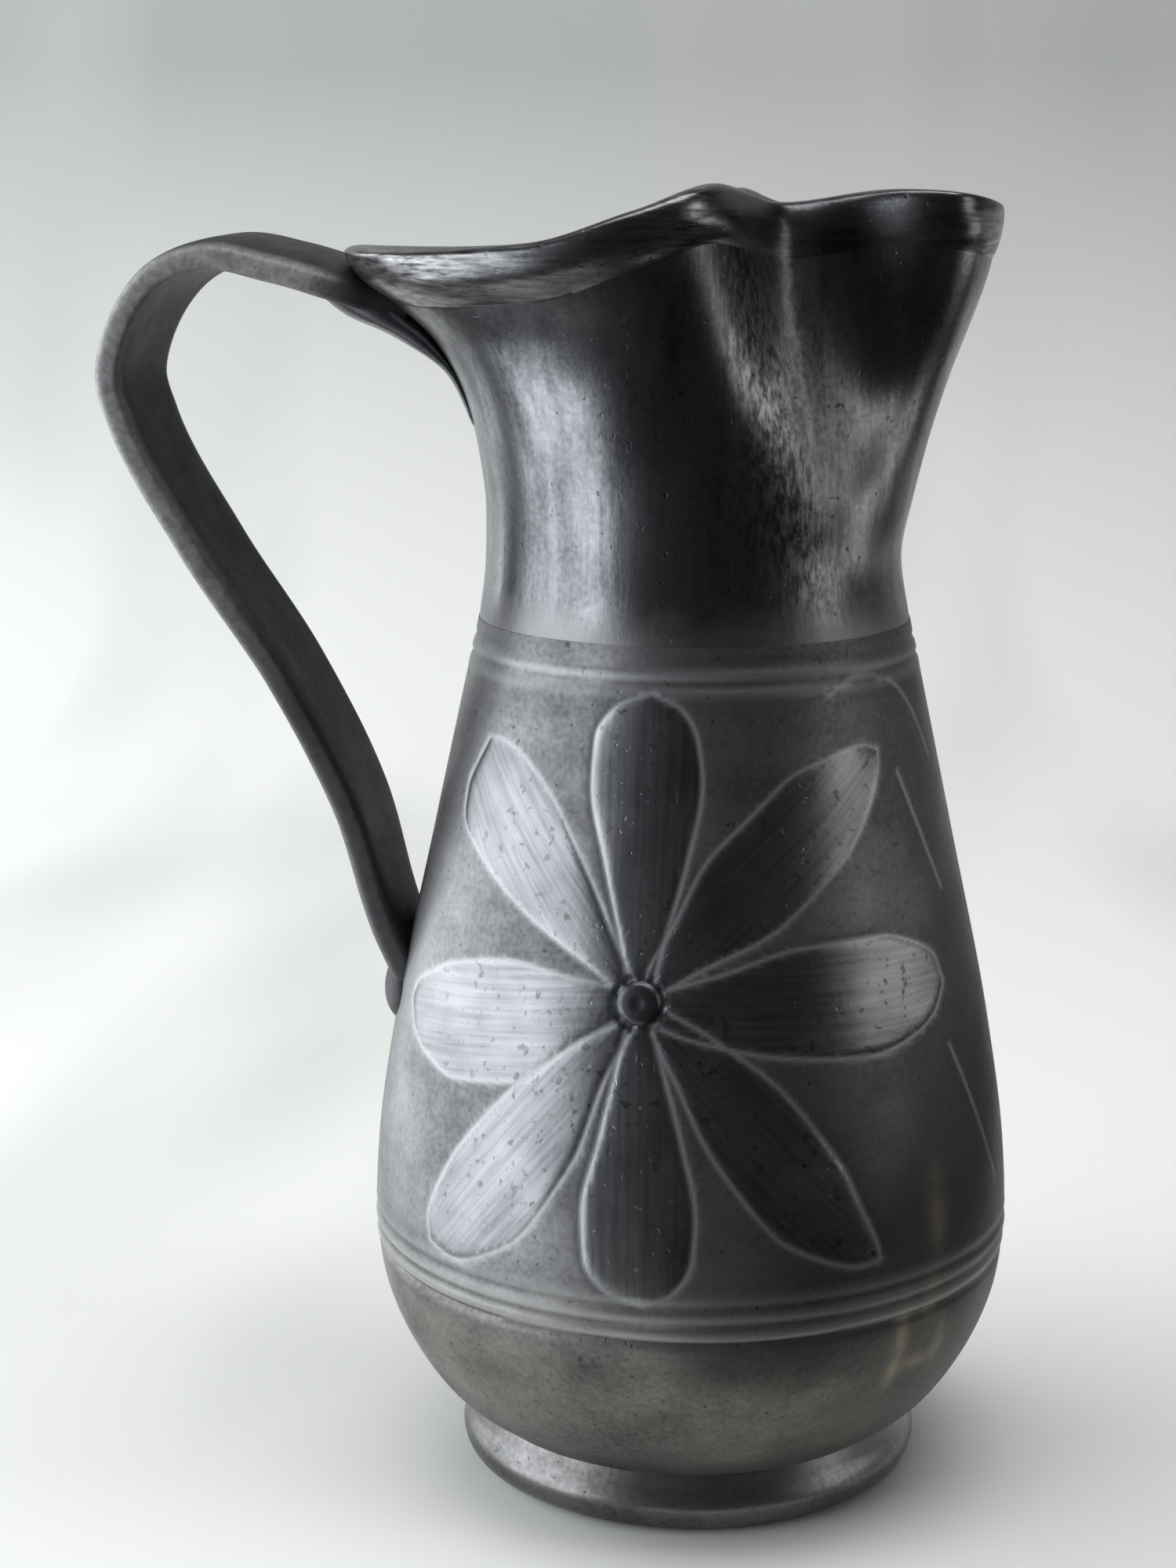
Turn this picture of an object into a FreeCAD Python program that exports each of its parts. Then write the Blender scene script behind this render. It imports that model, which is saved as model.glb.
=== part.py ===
import FreeCAD, Part

import math
import os

from FreeCAD import Vector

# A burnished earthenware jug with a pinched three-lobed mouth and a strap handle.
# Millimetres. The origin is the centre of the foot on the standing plane.
# +Z is up, +X points to the pouring lip, and the handle is on the -X side.

# Foot
foot_radius = 47.5
foot_stand_radius = 43.6
foot_waist_radius = 44.8
foot_height = 12.0
foot_widest_height = 5.0
foot_ring_width = 7.0
foot_edge_chamfer = 0.8
recess_depth = 2.2
floor_thickness = 6.8

# Belly
belly_radius = 65.1
belly_widest_height = 55.0
joint_radius = 43.0
joint_height = 176.0
wall = 5.0

# Turned bands round the belly
groove_radius = 0.7
groove_depth = 0.4
lower_band_drop = 6.6
lower_band_pitch = 2.2
lower_band_grooves = 4
upper_band_drop = 6.4
upper_band_pitch = 2.5
upper_band_grooves = 2

# Neck and mouth
neck_foot_step = 0.5
throat_radius = 40.9
mouth_handle_radius = 68.6
mouth_side_radius = 54.6
mouth_lip_radius = 58.9
pinch_depth = 28.0
pinch_back_width = 17.0
pinch_foot_back_width = 29.0
pinch_lip_width = 24.0
pinch_foot_lip_width = 18.0
rim_handle_height = 248.5
rim_low_height = 247.8
rim_cusp_height = 259.8
rim_pinch_height = 256.6
rim_flank_height = 259.0
rim_lip_height = 256.0
band_height = 10.5
band_bulge = 1.8

# Strap handle
strap_thickness = 5.8
strap_top_width = 36.0
strap_foot_width = 27.0
strap_bow = 46.2
strap_crown_drop = 1.3
strap_lift = 1.2
strap_bite = 0.9

# Clay pressed round the two ends of the handle
web_height = 24.0
web_reach = 11.4
web_drop = 2.2
web_width = 29.0
web_foot_width = 17.0
web_bite = 2.4
web_tip = 0.4
pad_height = 8.0
pad_half_width = 15.5
pad_proud = 3.4
pad_sink = 2.4
pad_centre_rise = 1.5

# Raised button at the heart of each rosette
button_radius = 4.2
button_proud = 0.8
button_edge_proud = 0.2
button_seat_depth = 1.4

# Angles, in degrees from the pouring lip
pinch_angle = 62.0
pinch_foot_angle = 38.0
push_angle = 75.0
foot_push_angle = 45.0
rim_flank_angle = 38.0
cusp_angle = 80.0
front_button_angle = -95.7
back_button_angle = 84.3

# Steps of angle round the neck's outlines: over the lip, each pinch and the back
lip_step = 6.0
pinch_step = 3.0
back_step = 7.0
pinch_start_angle = 24.0
pinch_end_angle = 102.0
pinch_back_squareness = 2.0
pinch_lip_squareness = 2.8
# How much wider the pinch is inside the wall, as a share of the depth in it
pinch_flank_share = 0.65
# The share of the neck's height over which the wall's lean is read
lean_share = 0.02

# Counts of points on the strap's and the web's sections, and of the strap's sections
strap_points = 24
strap_sections = 25
strap_squareness = 3.4
web_points = 16
web_squareness = 2.4

# Shares of the way from the widest belly up to the joint: strap's foot, buttons
strap_foot_share = 0.347
button_share = 0.467
# The floor's dish: share of its radius, share of its rise
dish_shares = (0.62, 0.2)
# The shoulder of a button's dome: share of its radius and of its rise
button_crown_share = 0.7

# Shares of the way from the foot's waist to the widest belly: height, radius
belly_low_shares = [(0.0, 0.0), (0.128, 0.34), (0.34, 0.66), (0.628, 0.915), (1.0, 1.0)]
# Shares of the way from the widest belly to the joint with the neck: height, radius
belly_high_shares = [(0.103, 0.973), (0.317, 0.805), (0.64, 0.43), (1.0, 0.0)]

# Shares up the neck, from the joint to the rim, and what the wall does at each
neck_level_shares = [0.0, 0.15, 0.3, 0.45, 0.6, 0.75, 0.87, 1.0]
neck_foot_shares = [1.0, 0.12, 0.0, 0.0, 0.0, 0.0, 0.0, 0.0]
handle_flare_shares = [0.0, 0.018, 0.018, 0.061, 0.162, 0.372, 0.7, 1.0]
side_flare_shares = [0.0, 0.012, 0.08, 0.218, 0.416, 0.657, 0.847, 1.0]
lip_flare_shares = [0.0, -0.012, 0.122, 0.283, 0.489, 0.728, 0.894, 1.0]
pinch_depth_shares = [0.0, 0.01, 0.06, 0.2, 0.43, 0.67, 0.84, 1.0]

# The rim behind the cusp: share of the way round to the handle, share of the rise
rim_back_shares = [(0.18, 0.6), (0.38, 0.13), (0.65, 0.0)]
# Sections of the neck, as shares of its height under the rim band
neck_section_shares = [0.0, 0.13, 0.27, 0.41, 0.55, 0.68, 0.8, 0.9, 1.0]
# The rim band's section: share of the band's height below the rim, then the
# distance out from the wall's outer face as a share of the bulge or of the wall
band_outer_shares = [(1.0, 0.9), (0.75, 1.0), (0.5, 1.0), (0.27, 0.85), (0.08, 0.35)]
band_inner_shares = [(0.0, 0.32), (0.06, 0.75), (0.25, 1.0), (0.5, 1.0), (0.75, 1.0), (1.0, 1.0)]

# The strap's middle line: share of its height, share of its bow
strap_path_shares = [
    (0.934, -0.238), (0.954, -0.091), (0.988, 0.271), (1.0, 0.517), (0.973, 0.755),
    (0.892, 0.952), (0.8355, 1.0), (0.784, 0.963), (0.616, 0.703), (0.443, 0.372),
    (0.266, 0.123), (0.1, 0.004), (0.0, -0.106),
]
# How far the strap's far edge is lifted outwards, at shares of the strap's length
strap_lift_stations_shares = [0.0, 0.4, 0.6, 0.75, 1.0]
strap_lift_shares = [1.0, 1.0, 0.2, 0.0, 0.0]
# The web's lower edge: share of its reach, share of its height
web_shares = [(0.0, 0.0), (0.135, 0.309), (0.459, 0.556), (0.72, 0.69), (1.0, 1.0)]
# Sections of the web, as shares of its height
web_section_shares = [0.0, 0.13, 0.26, 0.39, 0.52, 0.65, 0.78, 0.9]


def hermite(x, stations, values):
    """A smooth value at x through the stations, without overshoot."""
    last = len(stations) - 1
    if x <= stations[0]:
        return values[0]
    if x >= stations[last]:
        return values[last]
    i = max(k for k in range(last) if stations[k] <= x)

    def slope(k):
        return (values[k + 1] - values[k]) / (stations[k + 1] - stations[k])

    def tangent(k):
        if k == 0:
            return slope(0)
        if k == last:
            return slope(last - 1)
        before = slope(k - 1)
        after = slope(k)
        if before * after <= 0:
            return 0.0
        return 2 * before * after / (before + after)

    step = stations[i + 1] - stations[i]
    t = (x - stations[i]) / step
    rise = values[i + 1] - values[i]
    start = tangent(i) * step
    end = tangent(i + 1) * step
    return (
        values[i]
        + t * start
        + t * t * (3 * rise - 2 * start - end)
        + t * t * t * (start + end - 2 * rise)
    )


def between(low, high, share):
    """A value at a share of the way from low to high."""
    return low + (high - low) * share


def polar(radius, angle, height):
    """A point from a radius, an angle in degrees from the lip, and a height."""
    turn = math.radians(angle)
    return Vector(radius * math.cos(turn), radius * math.sin(turn), height)


def spline(points, periodic=False):
    """A smooth curve through the points."""
    curve = Part.BSplineCurve()
    curve.interpolate(Points=points, PeriodicFlag=periodic)
    return curve


# Belly outline


def on_upper_belly(share):
    """A height at a share of the way from the widest belly to the joint."""
    return between(belly_widest_height, joint_height, share)


def belly_points():
    """Height and radius points of the belly's outer face, from foot to joint."""
    rise = belly_widest_height - foot_height
    swell = belly_radius - foot_waist_radius
    low = [
        Vector(foot_waist_radius + swell * out, 0, foot_height + rise * up)
        for up, out in belly_low_shares
    ]
    rise = joint_height - belly_widest_height
    swell = belly_radius - joint_radius
    high = [
        Vector(joint_radius + swell * out, 0, belly_widest_height + rise * up)
        for up, out in belly_high_shares
    ]
    return low + high


def inner_belly_points(curve):
    """The outer outline moved in by the wall's thickness, level at both ends."""
    points = belly_points()
    moved = []
    for point in points:
        along = curve.tangent(curve.parameter(point))[0]
        normal = Vector(along.z, 0, -along.x)
        moved.append(point - normal * wall)
    along = curve.tangent(curve.parameter(points[0]))[0]
    moved[0] = Vector(points[0].x - wall / along.z, 0, foot_height)
    moved[-1] = Vector(joint_radius - wall, 0, joint_height)
    return moved


strap_foot_height = on_upper_belly(strap_foot_share)
button_height = on_upper_belly(button_share)
belly_curve = spline(belly_points())
inner_belly_curve = spline(inner_belly_points(belly_curve))
floor_radius = inner_belly_curve.getPole(1).x


def belly_radius_at(height):
    """The belly's outer radius at a height."""
    level = Part.Line(Vector(0, 0, height), Vector(belly_radius, 0, height))
    return belly_curve.intersectCC(level)[0].X


def belly_normal_at(height):
    """The outward normal of the belly's outline at a height, in the XZ plane."""
    along = belly_curve.tangent(
        belly_curve.parameter(Vector(belly_radius_at(height), 0, height))
    )[0]
    return Vector(along.z, 0, -along.x)


def revolve(edges):
    """A solid turned about the jug's axis from a closed outline in the XZ plane."""
    face = Part.Face(Part.Wire(Part.__sortEdges__(edges)))
    return face.revolve(Vector(0, 0, 0), Vector(0, 0, 1), 360)


def straight(*points):
    """Straight edges through the points in turn."""
    return [Part.makeLine(a, b) for a, b in zip(points, points[1:])]


def belly_core():
    """The belly filled solid, for cutting what is pressed against it."""
    points = belly_points()
    top = Vector(0, 0, joint_height)
    bottom = Vector(0, 0, foot_height)
    return revolve([belly_curve.toShape()] + straight(points[-1], top, bottom, points[0]))


# Foot, floor and belly


def foot_ring():
    """The splayed foot: a turned moulding round a shallow recess."""
    stand_inner = foot_stand_radius - foot_ring_width
    waist = Vector(foot_waist_radius, 0, foot_height)
    widest = Vector(foot_radius, 0, foot_widest_height)
    stand = Vector(foot_stand_radius, 0, 0)
    moulding = Part.BSplineCurve()
    moulding.interpolate(
        Points=[waist, widest, stand],
        Tangents=[Vector(0, 0, -1), Vector(0, 0, -1), Vector(-1, 0, -1)],
        TangentFlags=[True, True, False],
    )
    chamfer_top = Vector(stand_inner, 0, recess_depth)
    floor_edge = Vector(floor_radius, 0, recess_depth)
    return revolve(
        [moulding.toShape()]
        + straight(
            stand,
            Vector(stand_inner + foot_edge_chamfer, 0, 0),
            chamfer_top,
            floor_edge,
            Vector(floor_radius, 0, foot_height),
            waist,
        )
    )


def base_floor():
    """The round floor inside the foot, dished up to meet the wall."""
    centre_top = Vector(0, 0, recess_depth + floor_thickness)
    edge_top = Vector(floor_radius, 0, foot_height)
    out, up = dish_shares
    middle = Vector(floor_radius * out, 0, between(centre_top.z, edge_top.z, up))
    dish = spline([centre_top, middle, edge_top])
    return revolve(
        [dish.toShape()]
        + straight(
            edge_top,
            Vector(floor_radius, 0, recess_depth),
            Vector(0, 0, recess_depth),
            centre_top,
        )
    )


def band_heights():
    """Heights of every turned groove in the belly."""
    lowest = belly_widest_height - lower_band_drop
    lower = [lowest + lower_band_pitch * i for i in range(lower_band_grooves)]
    lowest = joint_height - upper_band_drop
    upper = [lowest + upper_band_pitch * i for i in range(upper_band_grooves)]
    return lower + upper


def belly_wall(buttons):
    """The thrown belly, with its turned grooves and the buttons' seats."""
    outer = belly_points()
    inner = inner_belly_points(belly_curve)
    shell = revolve(
        [belly_curve.toShape(), inner_belly_curve.toShape()]
        + straight(outer[0], inner[0])
        + straight(outer[-1], inner[-1])
    )
    for height in band_heights():
        ring_radius = belly_radius_at(height) + groove_radius - groove_depth
        shell = shell.cut(Part.makeTorus(ring_radius, groove_radius, Vector(0, 0, height)))
    for button in buttons:
        shell = shell.cut(button)
    return shell


def rosette_button(angle):
    """A low domed button of clay set square to the belly at an angle."""
    proud = Vector(0, 0, button_proud)
    edge = Vector(button_radius, 0, button_edge_proud)
    back = Vector(0, 0, -button_seat_depth)
    back_edge = Vector(button_radius, 0, -button_seat_depth)
    shoulder = Vector(
        button_radius * button_crown_share,
        0,
        between(button_edge_proud, button_proud, button_crown_share),
    )
    dome = Part.Arc(proud, shoulder, edge)
    solid = revolve([dome.toShape()] + straight(edge, back_edge, back, proud))
    normal = belly_normal_at(button_height)
    tilt = math.degrees(math.atan2(normal.x, normal.z))
    solid.rotate(Vector(0, 0, 0), Vector(0, 1, 0), tilt)
    solid.translate(Vector(belly_radius_at(button_height), 0, button_height))
    solid.rotate(Vector(0, 0, 0), Vector(0, 0, 1), angle)
    return solid


# Neck and mouth


def rim_height(angle):
    """Height of the rim's crest at an angle."""
    front_angles = [0.0, rim_flank_angle, pinch_angle, cusp_angle]
    front = [rim_lip_height, rim_flank_height, rim_pinch_height, rim_cusp_height]
    back_angles = [between(cusp_angle, 180.0, way) for way, down in rim_back_shares]
    back = [between(rim_low_height, rim_cusp_height, down) for way, down in rim_back_shares]
    angles = front_angles + back_angles + [180.0]
    return hermite(abs(angle), angles, front + back + [rim_handle_height])


def swing(lip_value, side_value, handle_value, angle):
    """A value that passes smoothly from the lip by the side to the handle."""
    mean = (lip_value + handle_value) / 2
    turn = math.radians(angle)
    return (
        (mean + side_value) / 2
        + (lip_value - handle_value) / 2 * math.cos(turn)
        + (mean - side_value) / 2 * math.cos(2 * turn)
    )


def neck_radius(angle, level):
    """The neck's outer radius before it is pinched, at a share of its height."""
    foot = joint_radius - neck_foot_step - throat_radius
    sizes = []
    for mouth_radius, shares in (
        (mouth_lip_radius, lip_flare_shares),
        (mouth_side_radius, side_flare_shares),
        (mouth_handle_radius, handle_flare_shares),
    ):
        flare = hermite(level, neck_level_shares, shares)
        sizes.append((mouth_radius - throat_radius) * flare)
    foot = foot * hermite(level, neck_level_shares, neck_foot_shares)
    return throat_radius + foot + swing(*sizes, angle)


def neck_point(angle, height, inset=0.0):
    """A point of the neck's wall, set in from its outer face, and pinched by fingers."""
    rise = rim_height(angle) - joint_height
    level = (height - joint_height) / rise
    radius = neck_radius(angle, level)
    lean = (radius - neck_radius(angle, level - lean_share)) / (rise * lean_share)
    point = polar(radius - inset * math.sqrt(1 + lean * lean), angle, height)
    centre = between(pinch_foot_angle, pinch_angle, level)
    valley = polar(neck_radius(centre, level), math.copysign(centre, angle), 0)
    push = polar(1, math.copysign(between(foot_push_angle, push_angle, level), angle), 0)
    aside = (point.x - valley.x) * push.y - (point.y - valley.y) * push.x
    if aside * angle > 0:
        width = between(pinch_foot_lip_width, pinch_lip_width, level)
        squareness = pinch_lip_squareness
    else:
        width = between(pinch_foot_back_width, pinch_back_width, level)
        squareness = pinch_back_squareness
    width += inset * pinch_flank_share
    depth = pinch_depth * hermite(level, neck_level_shares, pinch_depth_shares)
    return point - push * depth * math.exp(-(abs(aside / width) ** squareness))


def ring_angles():
    """Angles round the neck, closest together at the pinches."""
    half = []
    angle = 0.0
    while angle < 180.0 - back_step / 2:
        half.append(angle)
        if angle < pinch_start_angle:
            angle += lip_step
        elif angle < pinch_end_angle:
            angle += pinch_step
        else:
            angle += back_step
    return [-180.0] + [-a for a in reversed(half[1:])] + half


def ring(height_at, inset=0.0):
    """A closed curve round the neck, at the height that each angle gives."""
    angles = ring_angles()
    points = [neck_point(angle, height_at(angle), inset) for angle in angles]
    guide = [neck_point(angle, below_band(1.0)(angle)) for angle in angles]
    marks = [0.0]
    for a, b in zip(guide, guide[1:] + guide[:1]):
        marks.append(marks[-1] + a.distanceToPoint(b))
    curve = Part.BSplineCurve()
    curve.interpolate(Points=points, PeriodicFlag=True, Parameters=marks)
    return curve.toShape()


def below_band(share):
    """Heights at a share of the way from the joint to the rim band."""
    def height(angle):
        top = rim_height(angle) - band_height
        return joint_height + (top - joint_height) * share
    return height


def in_band(share):
    """Heights at a share of the band's height below the rim."""
    def height(angle):
        return rim_height(angle) - band_height * share
    return height


def skin(edges):
    """A smooth face through closed curves in turn, all with the same knots."""
    rows = [edge.Curve.getPoles() for edge in edges]
    marks = [0.0]
    for a, b in zip(rows, rows[1:]):
        gap = sum(p.distanceToPoint(q) for p, q in zip(a, b)) / len(a)
        marks.append(marks[-1] + gap)
    columns = []
    for poles in zip(*rows):
        column = Part.BSplineCurve()
        column.interpolate(Points=list(poles), Parameters=marks)
        columns.append(column)
    around = edges[0].Curve
    along = columns[0]
    surface = Part.BSplineSurface()
    surface.buildFromPolesMultsKnots(
        [column.getPoles() for column in columns],
        around.getMultiplicities(),
        along.getMultiplicities(),
        around.getKnots(),
        along.getKnots(),
        around.isPeriodic(),
        False,
        around.Degree,
        along.Degree,
    )
    return surface.toShape()


def closed_curve(points):
    """A smooth closed edge through the points, with evenly spaced knots."""
    curve = Part.BSplineCurve()
    marks = [float(i) for i in range(len(points) + 1)]
    curve.interpolate(Points=points, PeriodicFlag=True, Parameters=marks)
    return curve.toShape()


def skinned_bar(sections):
    """A solid skinned over closed sections, with flat ends."""
    ends = [Part.Face(Part.Wire([edge])) for edge in (sections[0], sections[-1])]
    return closed_solid([skin(sections)] + ends)


def closed_solid(faces):
    """A solid from faces that close on each other."""
    shell = Part.makeCompound(faces)
    shell.sewShape()
    solid = Part.Solid(Part.Shell(shell.Faces))
    if solid.Volume < 0:
        solid.reverse()
    return solid


def neck_wall():
    """The neck from the joint up to the rim band, pinched beside the lip."""
    outer = [ring(below_band(share)) for share in neck_section_shares]
    inner = [ring(below_band(share), wall) for share in neck_section_shares]
    top = Part.makeRuledSurface(outer[-1], inner[-1])
    bottom = Part.makeRuledSurface(outer[0], inner[0])
    return closed_solid([skin(outer), skin(inner), top, bottom])


def rim_band():
    """The thickened band round the mouth, rolled over to a soft crest."""
    outer = [ring(in_band(down), -band_bulge * out) for down, out in band_outer_shares]
    inner = [ring(in_band(down), wall * depth) for down, depth in band_inner_shares]
    edges = outer + inner
    seat = Part.makeRuledSurface(edges[0], edges[-1])
    return closed_solid([skin(edges), seat])


# Handle


def strap_path():
    """Points of the strap's middle line, from the rim down to the belly."""
    top = rim_handle_height - strap_crown_drop
    foot_radius_here = belly_radius_at(strap_foot_height)
    points = []
    for up, out in strap_path_shares:
        height = between(strap_foot_height, top, up)
        base = between(foot_radius_here, mouth_handle_radius, up)
        points.append(Vector(-(base + strap_bow * out), 0, height))
    points[0].x = back_point(points[0].z).x + strap_bite
    return points


def strap_section(centre, along, width, lift):
    """A flattened oval square to the strap, with its far edge lifted a little."""
    across = Vector(0, 1, 0)
    outward = across.cross(along)
    outward.normalize()
    across = across * (width / 2) + outward * lift
    power = 2 / strap_squareness
    points = []
    for i in range(strap_points):
        turn = 2 * math.pi * i / strap_points
        side = math.copysign(abs(math.cos(turn)) ** power, math.cos(turn))
        thick = math.copysign(abs(math.sin(turn)) ** power, math.sin(turn))
        points.append(centre + across * side + outward * (strap_thickness / 2 * thick))
    return closed_curve(points)


def handle_strap():
    """The pulled strap from the rim band round to the belly."""
    path = spline(strap_path())
    points = path.discretize(Number=strap_sections)
    sections = []
    for i, point in enumerate(points):
        share = i / (len(points) - 1)
        width = between(strap_top_width, strap_foot_width, share)
        lift = strap_lift * hermite(share, strap_lift_stations_shares, strap_lift_shares)
        along = path.tangent(path.parameter(point))[0]
        sections.append(strap_section(point, along, width, lift))
    return skinned_bar(sections)


def back_point(height):
    """The point of the neck's outer face under the handle, in the XZ plane."""
    point = neck_point(180.0, height)
    return Vector(point.x, 0, point.z)


def handle_root_upper():
    """The web of clay smoothed from the strap's underside into the neck."""
    start_height = rim_handle_height - band_height - web_height
    start = back_point(start_height)
    rise = rim_handle_height - strap_crown_drop - web_drop - start_height
    reach = mouth_handle_radius + web_reach + start.x
    sections = []
    for up in web_section_shares:
        height = start_height + rise * up
        out = hermite(up, [b for a, b in web_shares], [a for a, b in web_shares])
        near = back_point(height).x + web_bite
        far = start.x - reach * out - web_tip
        width = between(web_foot_width, web_width, up)
        sections.append(web_section(Vector((near + far) / 2, 0, height), near - far, width))
    return skinned_bar(sections)


def web_section(centre, depth, width):
    """A level rounded oblong, deep along X and wide along Y."""
    power = 2 / web_squareness
    points = []
    for i in range(web_points):
        turn = 2 * math.pi * i / web_points
        x = math.copysign(abs(math.cos(turn)) ** power, math.cos(turn))
        y = math.copysign(abs(math.sin(turn)) ** power, math.sin(turn))
        points.append(centre + Vector(x * depth / 2, y * width / 2, 0))
    return closed_curve(points)


def handle_root_lower():
    """The pad smeared over the strap's lower end."""
    ball = Part.makeSphere(1)
    squash = FreeCAD.Matrix()
    squash.scale(pad_sink + pad_proud, pad_half_width, pad_height)
    pad = ball.transformGeometry(squash)
    height = strap_foot_height + pad_centre_rise
    pad.translate(Vector(pad_sink - belly_radius_at(height), 0, height))
    return pad


def main():
    os.makedirs("parts", exist_ok=True)
    front_button = rosette_button(front_button_angle)
    back_button = rosette_button(back_button_angle)
    belly = belly_wall([front_button, back_button])
    neck = neck_wall()
    band = rim_band()
    core = belly_core()
    strap = handle_strap().cut(band).cut(neck).cut(core)
    web = handle_root_upper().cut(band).cut(neck).cut(strap)
    pad = handle_root_lower().cut(core).cut(strap)
    nodes = {
        "foot_ring": foot_ring(),
        "base_floor": base_floor(),
        "belly_wall": belly,
        "neck_wall": neck,
        "rim_band": band,
        "handle_strap": strap,
        "handle_root_upper": web,
        "handle_root_lower": pad,
        "rosette_button_front": front_button,
        "rosette_button_back": back_button,
    }
    for name, shape in nodes.items():
        box = shape.BoundBox
        print(
            f"{name}: {len(shape.Solids)} solid, valid {shape.isValid()}, {shape.Volume:.0f} mm3, "
            f"x {box.XMin:.1f} {box.XMax:.1f} y {box.YMin:.1f} {box.YMax:.1f} "
            f"z {box.ZMin:.1f} {box.ZMax:.1f}"
        )
        shape.exportStep(f"parts/{name}.step")


if __name__ == "__main__":
    main()
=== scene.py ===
import math

import bmesh
import bpy
from mathutils import Matrix, Vector
from mathutils.kdtree import KDTree
from mathutils.noise import fractal, noise


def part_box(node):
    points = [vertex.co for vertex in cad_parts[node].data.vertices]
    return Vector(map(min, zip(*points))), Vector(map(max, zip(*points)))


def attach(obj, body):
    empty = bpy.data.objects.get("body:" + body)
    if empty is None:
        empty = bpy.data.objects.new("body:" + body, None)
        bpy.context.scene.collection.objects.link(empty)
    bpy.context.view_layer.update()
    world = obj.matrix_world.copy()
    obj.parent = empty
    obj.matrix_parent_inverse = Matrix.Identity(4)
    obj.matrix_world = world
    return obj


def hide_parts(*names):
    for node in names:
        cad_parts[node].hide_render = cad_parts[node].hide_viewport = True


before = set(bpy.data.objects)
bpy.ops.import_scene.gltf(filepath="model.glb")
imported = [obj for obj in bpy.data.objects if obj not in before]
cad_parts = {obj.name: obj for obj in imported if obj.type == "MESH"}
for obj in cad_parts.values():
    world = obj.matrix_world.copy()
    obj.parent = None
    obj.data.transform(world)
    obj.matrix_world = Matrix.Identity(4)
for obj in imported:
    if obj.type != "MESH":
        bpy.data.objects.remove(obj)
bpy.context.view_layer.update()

# Lengths are in millimetres until a mesh is placed; the frame is in metres.
MM = 0.001

# Sizes read from the frame


def node_box(node):
    """A node's lowest and highest corners, in millimetres."""
    low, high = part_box(node)
    return low / MM, high / MM


foot_high = node_box("foot_ring")[1]
floor_low, floor_high = node_box("base_floor")
belly_high = node_box("belly_wall")[1]
band_high = node_box("rim_band")[1]
foot_radius = foot_high.x
foot_height = foot_high.z
recess_depth = floor_low.z
floor_radius = floor_high.x
belly_radius = belly_high.x
joint_height = belly_high.z
rim_cusp_height = band_high.z

# Foot
foot_stand_radius = 43.6
foot_waist_radius = 44.8
foot_widest_height = 5.0
foot_ring_width = 7.0
foot_edge_chamfer = 0.8
foot_cove_depth = 0.9
foot_cove_drop = 2.4
foot_toe_inset = 1.0
foot_toe_height = 1.8
floor_thickness = 6.8
floor_dish_share = 0.62
floor_dish_rise_share = 0.2

# Belly
belly_widest_height = 55.0
joint_radius = 43.0
wall = 5.0

# Neck and mouth, as in the frame
neck_foot_step = 0.15
throat_radius = 40.9
mouth_handle_radius = 68.6
mouth_side_radius = 54.6
mouth_lip_radius = 58.9
pinch_depth = 28.0
pinch_back_width = 17.0
pinch_foot_back_width = 29.0
pinch_lip_width = 24.0
pinch_foot_lip_width = 18.0
pinch_back_squareness = 2.0
pinch_lip_squareness = 2.8
pinch_flank_share = 0.65
pinch_angle = 62.0
pinch_foot_angle = 38.0
push_angle = 75.0
foot_push_angle = 45.0
rim_flank_angle = 38.0
cusp_angle = 80.0
rim_handle_height = 248.5
rim_low_height = 247.8
rim_pinch_height = 256.6
rim_flank_height = 259.0
rim_lip_height = 256.0
neck_sway_size = 22.0
neck_sway_height = 0.18
band_height = 10.5
band_bulge = 1.8
lean_share = 0.02

# Handle
strap_thickness = 6.4
strap_top_width = 36.0
strap_foot_width = 27.0
strap_bow = 46.2
strap_crown_drop = 1.3
strap_foot_height = 97.0
strap_lift = 1.2
strap_outer_squareness = 3.0
strap_inner_squareness = 7.0
strap_bow_proud = 0.7
strap_bite = 4.4
strap_sway = 0.25
strap_face_sway_share = 0.4
strap_sway_across = 2.0
strap_sway_along = 9.0
strap_sway_slice = 5.0

# Clay round the handle's ends
web_height = 24.0
web_reach = 11.4
web_drop = 2.2
web_width = 29.0
web_foot_width = 21.0
web_bite = 2.4
web_tip = -0.3
web_squareness = 2.4
pad_height = 8.0
pad_half_width = 15.5
pad_proud = 3.4
pad_sink = 2.4
pad_centre_height = 98.5

# Rosettes
rosette_height = 111.5
rosette_angles = (-95.7, 84.3)
button_radius = 4.2
button_proud = 0.8
button_ring_gap = 0.4
button_ring_depth = 0.3
button_ring_width = 0.5
button_seat = 1.4
line_width = 0.5
line_depth = 0.18
stroke_depth = 0.144
line_clear_of_button = 1.5
petal_rise = 0.05
petal_shoulder = 1.5

# The button's profile: radius and drop below its proudest ring
button_profile = [(0.0, 0.12), (0.6, 0.08), (1.3, 0.0), (2.4, 0.06), (3.4, 0.28)]
button_edge_sink = 0.2

# A distance from a line that counts as far
far_off = 9.0

# The belly's outer face below and above its widest place: shares of the rise and the swell
belly_low_shares = [(0.0, 0.0), (0.128, 0.34), (0.34, 0.66), (0.628, 0.915), (1.0, 1.0)]
belly_high_shares = [(0.103, 0.973), (0.317, 0.805), (0.64, 0.43), (1.0, 0.0)]

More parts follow.
